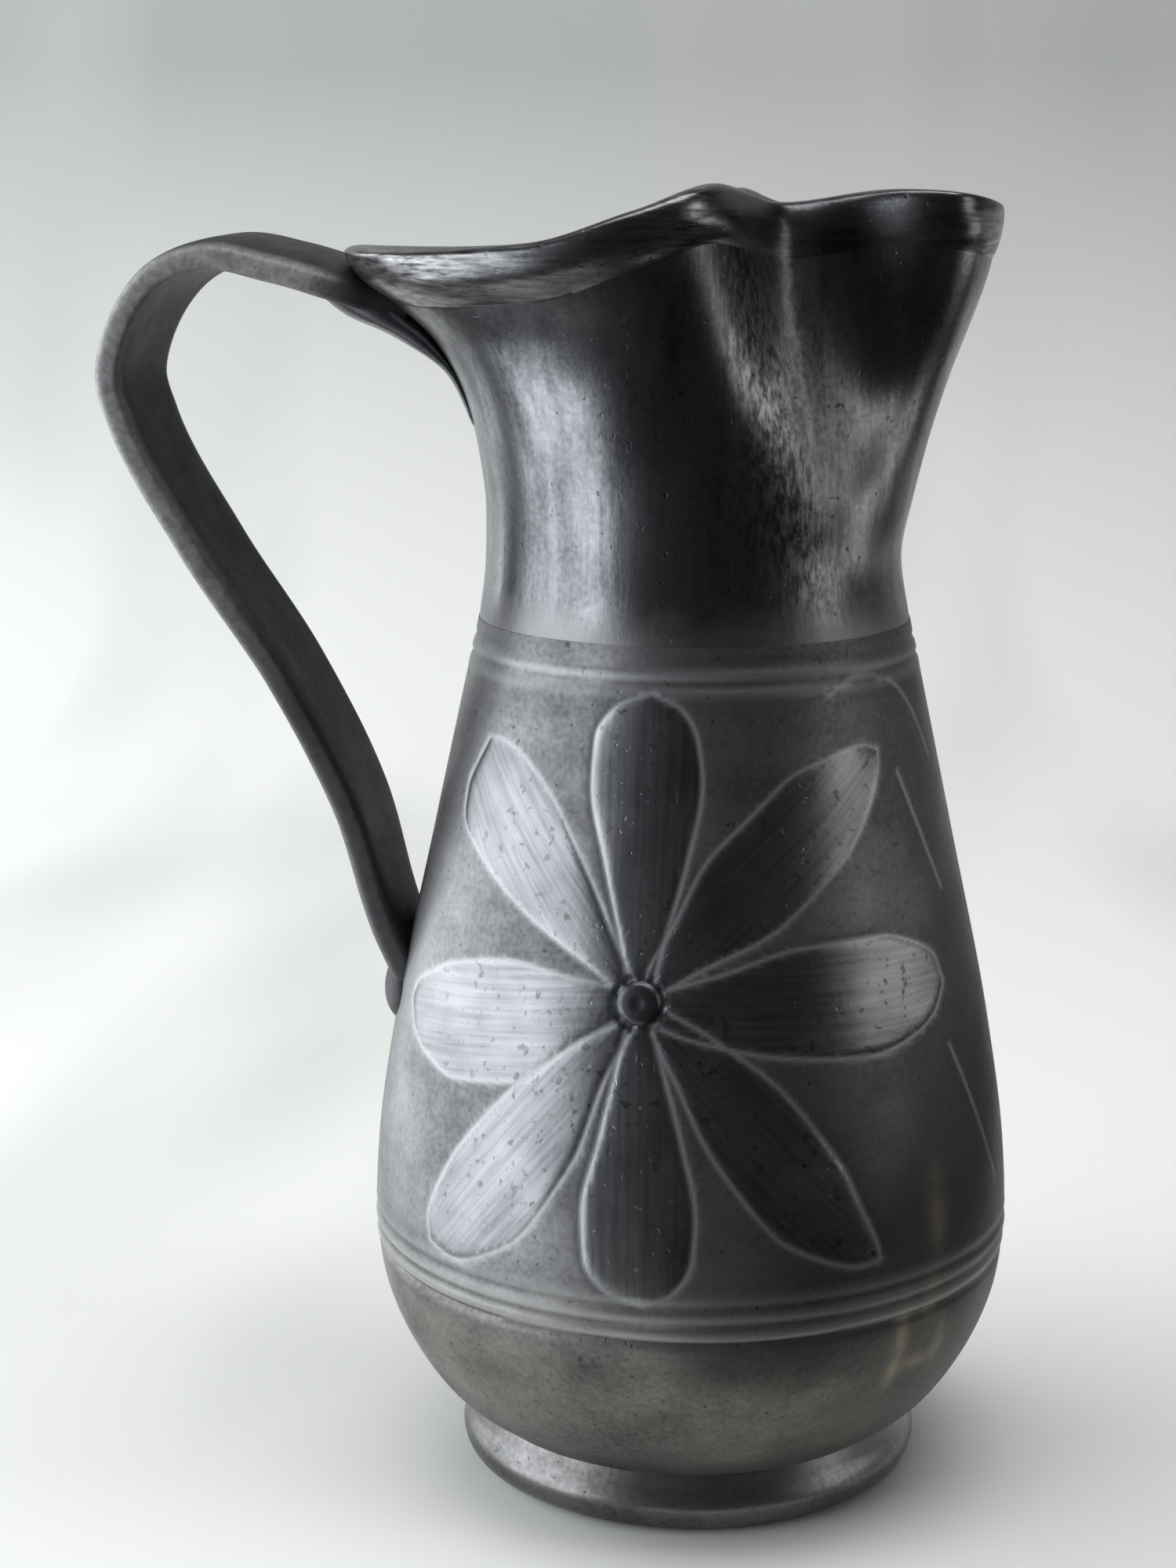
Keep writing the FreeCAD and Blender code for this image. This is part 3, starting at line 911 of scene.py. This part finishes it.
def handle_piece():
    """The pulled strap of the handle."""
    mesh = bar_mesh(strap_place, around=56, along=236)
    layer = mesh.verts.layers.float.new("lightened")
    last = len(strap_line) - 1
    for vert in mesh.verts:
        up = 1 - strap_tree.find(Vector((vert.co.x, vert.co.z, 0)))[1] / last
        across = abs(vert.co.y) / (between(strap_foot_width, strap_top_width, up) / 2)
        # Painted sheen on the strap's side faces, near its edges and strongest up the bow
        side_sheen = hermite(across, *strap_sheen_across_shares)
        vert[layer] = side_sheen * hermite(up, *strap_sheen_up_shares)
    return new_piece("handle", mesh, handle_clay, ["handle_strap"])


def web_piece():
    """The clay smoothed from the strap's underside into the neck."""
    start_height = rim_height(180.0) - band_height - web_height
    start = neck_point(180.0, start_height)
    rise = rim_handle_height - strap_crown_drop - web_drop - start_height
    reach = mouth_handle_radius + web_reach + start.x

    def place(turn, share):
        up = share * web_top_share
        height = start_height + rise * up
        out = hermite(up, web_up_shares, web_out_shares)
        near = neck_point(180.0, height).x + web_bite
        far = start.x - reach * out - web_tip
        width = between(web_foot_width, web_width, up)
        depth, across = rounded(turn, web_squareness)
        middle = (near + far) / 2
        return Vector((middle + depth * (near - far) / 2, across * width / 2, height))

    mesh = bar_mesh(place, around=48, along=40)
    return new_piece("handle_web", mesh, web_clay, ["handle_root_upper"])


def pad_piece():
    """The clay smeared over the strap's lower end."""
    mesh = bmesh.new()
    bmesh.ops.create_uvsphere(mesh, u_segments=48, v_segments=32, radius=1)
    centre = Vector((pad_sink - belly_radius_at(pad_centre_height), 0, pad_centre_height))
    bmesh.ops.scale(mesh, vec=(pad_sink + pad_proud, pad_half_width, pad_height), verts=mesh.verts)
    bmesh.ops.translate(mesh, vec=centre, verts=mesh.verts)
    return new_piece("handle_pad", mesh, handle_clay, ["handle_root_lower"])


def button_piece(name, angle, node):
    """A low domed button with a pressed ring and a dimple."""
    points = [Vector((radius, 0, button_proud - drop)) for radius, drop in button_profile]
    points.append(Vector((button_radius, 0, -button_edge_sink)))
    seat = [Vector((button_radius, 0, -button_seat)), Vector((0, 0, -button_seat))]
    mesh = turned_mesh(curve_through(points, count=28) + seat, steps=64)
    step = 0.5
    rise = belly_radius_at(rosette_height + step) - belly_radius_at(rosette_height - step)
    tilt = math.pi / 2 + math.atan2(rise, 2 * step)
    place = (
        Matrix.Rotation(math.radians(angle), 4, "Z")
        @ Matrix.Translation((belly_radius_at(rosette_height), 0, rosette_height))
        @ Matrix.Rotation(tilt, 4, "Y")
    )
    bmesh.ops.transform(mesh, matrix=place, verts=mesh.verts)
    return new_piece(name, mesh, polished_clay, [node])


# Finishes


def add_node(tree, kind, **settings):
    """A shader node with its settings."""
    node = tree.nodes.new(kind)
    for key, value in settings.items():
        setattr(node, key, value)
    return node


def fill(tree, socket, value):
    """Links a socket to another, or gives it a plain value or a colour."""
    if isinstance(value, bpy.types.NodeSocket):
        tree.links.new(value, socket)
    elif isinstance(value, tuple):
        socket.default_value = (*value, 1)
    else:
        socket.default_value = value


def on_object(tree):
    """Where a point lies on the jug."""
    return add_node(tree, "ShaderNodeTexCoord").outputs["Object"]


def stretched(tree, place, closeness):
    """A place whose pattern lies closer or wider along X, Y and Z."""
    node = add_node(tree, "ShaderNodeMapping")
    node.inputs["Scale"].default_value = closeness
    tree.links.new(place, node.inputs["Vector"])
    return node.outputs["Vector"]


def parts_of(tree, vector):
    """The X, Y and Z of a vector."""
    node = add_node(tree, "ShaderNodeSeparateXYZ")
    tree.links.new(vector, node.inputs["Vector"])
    return node.outputs


def mottle(tree, place, scale, detail, roughness=0.5):
    """Cloudy noise between nought and one."""
    node = add_node(tree, "ShaderNodeTexNoise")
    node.inputs["Scale"].default_value = scale
    node.inputs["Detail"].default_value = detail
    node.inputs["Roughness"].default_value = roughness
    tree.links.new(place, node.inputs["Vector"])
    return node.outputs["Fac"]


def ramp(tree, source, low, high, start=0.0, end=1.0):
    """A value moved from one range to another, and held within it."""
    node = add_node(tree, "ShaderNodeMapRange")
    ends = {"From Min": low, "From Max": high, "To Min": start, "To Max": end}
    for key, value in ends.items():
        node.inputs[key].default_value = value
    tree.links.new(source, node.inputs["Value"])
    return node.outputs["Result"]


def combine(tree, operation, *terms):
    """Sockets and numbers worked into one value."""
    node = add_node(tree, "ShaderNodeMath", operation=operation)
    for socket, value in zip(node.inputs, terms):
        fill(tree, socket, value)
    return node.outputs["Value"]


def blend(tree, share, first, second, **settings):
    """A value that passes from the first to the second by a share."""
    node = add_node(tree, "ShaderNodeMix", **settings)
    for key, value in (("Factor", share), ("A", first), ("B", second)):
        fill(tree, node.inputs[key], value)
    return node.outputs["Result"]


def paint(tree, share, first, second, blend_type="MIX"):
    """A colour that passes from the first to the second by a share."""
    return blend(tree, share, first, second, data_type="RGBA", blend_type=blend_type)


def marked(tree, layer, output="Fac"):
    """What a layer of the vertices says."""
    return add_node(tree, "ShaderNodeAttribute", attribute_name=layer).outputs[output]


def fed_by(shader, key):
    """What feeds one of the shader's sockets now."""
    return shader.inputs[key].links[0].from_socket


def new_finish(name):
    """A plain finish, with its tree and its shader."""
    material = bpy.data.materials.new(name)
    material.use_nodes = True
    return material, material.node_tree, material.node_tree.nodes["Principled BSDF"]


def opened(material):
    """A finish's tree and its shader."""
    return material.node_tree, material.node_tree.nodes["Principled BSDF"]


def clay(name, dark, light, rough, metal, grain, streak=0.5, pits=0.5, blotches=26.0):
    """Smoke-blackened clay: burnish streaks along the grain, worn mottles, pits and dust.

    grain is how close the streaks lie along X, Y and Z, so the least of the three is
    the way that the clay was rubbed. rough is the roughness of the light places and of
    the dark ones.
    """
    material, tree, shader = new_finish(name)
    place = on_object(tree)
    fine = mottle(tree, place, 900.0, 3.0)
    lane = ramp(tree, mottle(tree, stretched(tree, place, grain), 1.0, 5.0, 0.65), 0.35, 0.65)
    patch = ramp(tree, mottle(tree, place, blotches, 4.0, 0.6), 0.38, 0.66)
    pit = ramp(tree, mottle(tree, place, 600.0, 3.0), 0.67, 0.73)
    grit = ramp(tree, fine, 0.3, 0.7)
    streaks = combine(tree, "MULTIPLY", lane, streak)
    mottles = combine(tree, "MULTIPLY", patch, 1.0 - streak)
    rubbed = combine(tree, "MULTIPLY", combine(tree, "ADD", streaks, mottles), 0.75)
    tone = combine(tree, "ADD", rubbed, combine(tree, "MULTIPLY", grit, 0.25))
    pit_share = combine(tree, "MULTIPLY", pit, pits)
    colour = paint(tree, pit_share, paint(tree, tone, dark, light), (0.006, 0.006, 0.006))
    tree.links.new(colour, shader.inputs["Base Color"])
    light_rough, dark_rough = rough
    tree.links.new(ramp(tree, tone, 0.0, 1.0, dark_rough, light_rough), shader.inputs["Roughness"])
    shader.inputs["Metallic"].default_value = metal
    lanes_height = combine(tree, "MULTIPLY", lane, 0.5)
    height = combine(tree, "ADD", lanes_height, combine(tree, "MULTIPLY", fine, 0.5))
    bump = add_node(tree, "ShaderNodeBump")
    bump.inputs["Strength"].default_value = 0.35
    bump.inputs["Distance"].default_value = 0.00012
    tree.links.new(combine(tree, "SUBTRACT", height, pit), bump.inputs["Height"])
    tree.links.new(bump.outputs["Normal"], shader.inputs["Normal"])
    return material


def petal_sheen(tree, petal):
    """The colour of the polished petals: streaks along each petal, and clouds."""
    lanes_place = add_node(tree, "ShaderNodeCombineXYZ")
    tree.links.new(combine(tree, "MULTIPLY", petal["Y"], 0.035), lanes_place.inputs["X"])
    tree.links.new(petal["Z"], lanes_place.inputs["Y"])
    lanes = mottle(tree, lanes_place.outputs["Vector"], 0.9, 5.0, 0.6)
    clouds = mottle(tree, on_object(tree), 70.0, 5.0)
    tone = ramp(tree, blend(tree, 0.5, lanes, clouds), 0.32, 0.64)
    return paint(tree, tone, (0.085, 0.088, 0.094), (0.225, 0.23, 0.24))


def petal_finish(material):
    """Adds the petals, the bright lines, painted shade on the right side and the stains to the belly's
    clay.
    """
    tree, shader = opened(material)
    place = on_object(tree)
    on_jug = parts_of(tree, place)
    petal = parts_of(tree, marked(tree, "petal", "Vector"))
    inside = ramp(tree, petal["X"], 0.3, -0.4)
    # Painted shade: the ground darkens towards the belly's right side (+X)
    right_side_shade = ramp(tree, on_jug["X"], 0.015, 0.048, 0.0, 0.75)
    ground = paint(tree, right_side_shade, fed_by(shader, "Base Color"), (0.05, 0.051, 0.053))
    unspotted = ramp(tree, mottle(tree, place, 520.0, 3.0), 0.67, 0.61)
    cover = combine(tree, "MULTIPLY", inside, unspotted)
    colour = paint(tree, cover, ground, petal_sheen(tree, petal))
    line = combine(tree, "MULTIPLY", marked(tree, "line"), 0.55)
    colour = paint(tree, line, colour, (0.40, 0.41, 0.42))
    low = ramp(tree, on_jug["Z"], 0.058, 0.042, 0.0, 0.95)
    colour = paint(tree, low, colour, (1.3, 1.27, 1.12), "MULTIPLY")
    stained = combine(tree, "MULTIPLY", marked(tree, "stain"), mottle(tree, place, 260.0, 4.0))
    colour = paint(tree, stained, colour, (0.42, 0.36, 0.26))
    tree.links.new(colour, shader.inputs["Base Color"])
    rough = blend(tree, inside, fed_by(shader, "Roughness"), 0.32)
    tree.links.new(rough, shader.inputs["Roughness"])
    metal = blend(tree, line, ramp(tree, inside, 0.0, 1.0, 0.8, 0.95), 0.2)
    tree.links.new(metal, shader.inputs["Metallic"])
    return material


def wear_and_sheen_speckles(material, scale, low, high, dim, bright, upright):
    """Lightens the clay in speckles where the vertices are marked: wear on the neck and the rim, a painted
    sheen on the handle's side faces.
    """
    tree, shader = opened(material)
    place = stretched(tree, on_object(tree), (1.0, 1.0, upright))
    light = ramp(tree, mottle(tree, place, scale, 4.0, 0.65), low, high, dim, bright)
    colour = paint(tree, marked(tree, "lightened"), fed_by(shader, "Base Color"), light)
    tree.links.new(colour, shader.inputs["Base Color"])
    return material


def fade_down(material, level, colour, roughness):
    """Passes the clay softly into a plain matte one near a level, in millimetres."""
    tree, shader = opened(material)
    place = on_object(tree)
    height = parts_of(tree, place)["Z"]
    wave = combine(tree, "MULTIPLY_ADD", mottle(tree, place, 120.0, 4.0), 0.012, height)
    matte = ramp(tree, wave, (level + 14.0) * MM, (level + 7.0) * MM)
    tree.links.new(paint(tree, matte, fed_by(shader, "Base Color"), colour), shader.inputs["Base Color"])
    rough = blend(tree, matte, fed_by(shader, "Roughness"), roughness)
    tree.links.new(rough, shader.inputs["Roughness"])
    return material


belly_clay = petal_finish(clay(
    "belly clay", (0.04, 0.041, 0.044), (0.22, 0.222, 0.228), (0.38, 0.54), 0.85,
    grain=(30, 30, 90), streak=0.3, pits=0.6,
))
neck_clay = clay(
    "burnished neck", (0.03, 0.031, 0.034), (0.2, 0.205, 0.215), (0.24, 0.36), 0.95,
    grain=(220, 220, 16), streak=0.6, blotches=60.0,
)
wear_and_sheen_speckles(neck_clay, 900.0, 0.4, 0.64, dim=0.05, bright=0.26, upright=0.4)
fade_down(neck_clay, joint_height, (0.16, 0.161, 0.163), 0.42)
rim_clay = clay(
    "burnished rim", (0.02, 0.021, 0.023), (0.16, 0.164, 0.172), (0.24, 0.36), 0.95,
    grain=(60, 60, 500), blotches=60.0,
)
wear_and_sheen_speckles(rim_clay, 150.0, 0.36, 0.66, dim=0.03, bright=0.36, upright=8.0)
foot_clay = clay(
    "foot clay", (0.06, 0.06, 0.06), (0.26, 0.258, 0.255), (0.28, 0.42), 0.85,
    grain=(30, 30, 300), streak=0.3,
)
inside_clay = clay(
    "inside clay", (0.012, 0.012, 0.013), (0.03, 0.03, 0.031), (0.5, 0.66), 0.2, grain=(20, 20, 200)
)
handle_clay = clay(
    "handle clay", (0.014, 0.0145, 0.016), (0.055, 0.056, 0.06), (0.42, 0.58), 0.1,
    grain=(160, 160, 160), streak=0.4,
)
# Painted sheen on the handle's side faces, in speckles
wear_and_sheen_speckles(handle_clay, 600.0, 0.25, 0.75, dim=0.14, bright=0.36, upright=1.0)
opened(handle_clay)[1].inputs["Specular IOR Level"].default_value = 0.16
web_clay = clay(
    "web clay", (0.03, 0.031, 0.034), (0.2, 0.205, 0.215), (0.34, 0.46), 0.9, grain=(60, 220, 220)
)
polished_clay = clay(
    "polished clay", (0.04, 0.042, 0.045), (0.12, 0.124, 0.132), (0.3, 0.42), 0.92, grain=(60, 60, 60)
)

belly_piece()
foot_piece()
floor_piece()
neck_piece()
rim_piece()
handle_piece()
web_piece()
pad_piece()
button_piece("rosette_front", rosette_angles[0], "rosette_button_front")
button_piece("rosette_back", rosette_angles[1], "rosette_button_back")


# Stage, light and camera, in metres

back = 0.6
back_width = 5.2
back_height = 2.4
bend = 0.5
bend_steps = 16
floor_edge = [
    (-0.17, -0.12), (-0.10, -0.2), (-0.03, -0.2), (0.01, -0.085), (0.13, -0.06), (0.25, back),
    (-0.45, back),
]


def cloth(name):
    """A pale matte finish for the stage, with painted shade that darkens it as it rises and painted shadows
    of folds.
    """
    material, tree, shader = new_finish(name)
    place = on_object(tree)
    # Painted shade: the cloth darkens as it rises
    rise = ramp(tree, parts_of(tree, place)["Z"], 0.0, 0.34)
    # Painted shadows of folds, greenish, on a flat cloth
    fold_shadow_noise = mottle(tree, stretched(tree, place, (6.0, 1.5, 1.5)), 1.0, 2.0)
    plain = paint(tree, rise, (0.88, 0.89, 0.865), (0.40, 0.405, 0.4))
    fold_shadowed = paint(tree, ramp(tree, fold_shadow_noise, 0.5, 0.75, 0.0, 0.6), plain, (0.5, 0.52, 0.47))
    tree.links.new(fold_shadowed, shader.inputs["Base Color"])
    shader.inputs["Roughness"].default_value = 0.9
    shader.inputs["Specular IOR Level"].default_value = 0.1
    return material


def stage_piece(name, mesh):
    """A piece of the stage."""
    data = bpy.data.meshes.new(name)
    mesh.to_mesh(data)
    mesh.free()
    for face in data.polygons:
        face.use_smooth = True
    piece = bpy.data.objects.new(name, data)
    data.materials.append(cloth(name))
    bpy.context.scene.collection.objects.link(piece)


def floor_cloth():
    """The floor, a narrow table open in front and at its sides."""
    mesh = bmesh.new()
    mesh.faces.new([mesh.verts.new((x, y, 0)) for x, y in floor_edge])
    stage_piece("floor_cloth", mesh)


def back_cloth():
    """The backdrop, curved up from the floor."""
    mesh = bmesh.new()
    points = []
    for i in range(bend_steps + 1):
        turn = math.pi / 2 * i / bend_steps
        rise = bend * (1 - math.cos(turn))
        points.append(Vector((-back_width / 2, back + bend * math.sin(turn), rise)))
    points.append(Vector((-back_width / 2, back + bend, back_height)))
    verts = [mesh.verts.new(point) for point in points]
    edges = [mesh.edges.new(pair) for pair in zip(verts, verts[1:])]
    extruded = bmesh.ops.extrude_edge_only(mesh, edges=edges)
    moved = [item for item in extruded["geom"] if isinstance(item, bmesh.types.BMVert)]
    bmesh.ops.translate(mesh, vec=(back_width, 0, 0), verts=moved)
    stage_piece("back_cloth", mesh)


def soft_lamp(name, place, aim, wide, high, power, tint=(1, 1, 1)):
    """A broad soft lamp, facing a point."""
    lamp = bpy.data.lights.new(name, "AREA")
    lamp.shape = "RECTANGLE"
    lamp.size = wide
    lamp.size_y = high
    lamp.energy = power
    lamp.color = tint
    holder = bpy.data.objects.new(name, lamp)
    holder.location = place
    holder.rotation_mode = "QUATERNION"
    holder.rotation_quaternion = (Vector(aim) - Vector(place)).to_track_quat("-Z", "Y")
    bpy.context.scene.collection.objects.link(holder)
    return holder


def room():
    """Dim air all round the stage."""
    world = bpy.data.worlds.new("room")
    bpy.context.scene.world = world
    world.use_nodes = True
    air = world.node_tree.nodes["Background"]
    air.inputs["Color"].default_value = (0.92, 0.95, 1.0, 1)
    air.inputs["Strength"].default_value = 0.03


def camera():
    """The photograph's viewpoint."""
    lens = bpy.data.cameras.new("camera")
    lens.sensor_width = 36.0
    lens.lens = 62.42
    holder = bpy.data.objects.new("camera", lens)
    azimuth = math.radians(4.0)
    aside = math.radians(2.25)
    down = math.radians(11.83)
    distance = 0.540
    height = 0.2543
    holder.location = (distance * math.sin(azimuth), -distance * math.cos(azimuth), height)
    holder.rotation_mode = "XYZ"
    holder.rotation_euler = (math.pi / 2 - down, 0, azimuth + aside)
    bpy.context.scene.collection.objects.link(holder)
    bpy.context.scene.camera = holder


floor_cloth()
back_cloth()
room()
soft_lamp("window", (-1.0, -0.16, 0.1), (0, -0.16, 0.1), 2.0, 1.4, 35, (0.93, 0.96, 1.0))
soft_lamp("right wall", (1.0, -0.21, 0.42), (0, -0.21, 0.42), 0.36, 0.7, 1.35, (1.0, 0.99, 0.96))
card = soft_lamp("right card", (0.4, 0.06, 0.13), (0, 0.06, 0.13), 0.16, 0.08, 0.09, (1.0, 0.99, 0.96))
card.visible_diffuse = False
soft_lamp("overhead", (0.1, -0.1, 1.8), (0.1, 0.0, 0), 1.8, 1.0, 24, (1, 1, 1))
camera()
bpy.context.scene.view_settings.view_transform = "Standard"
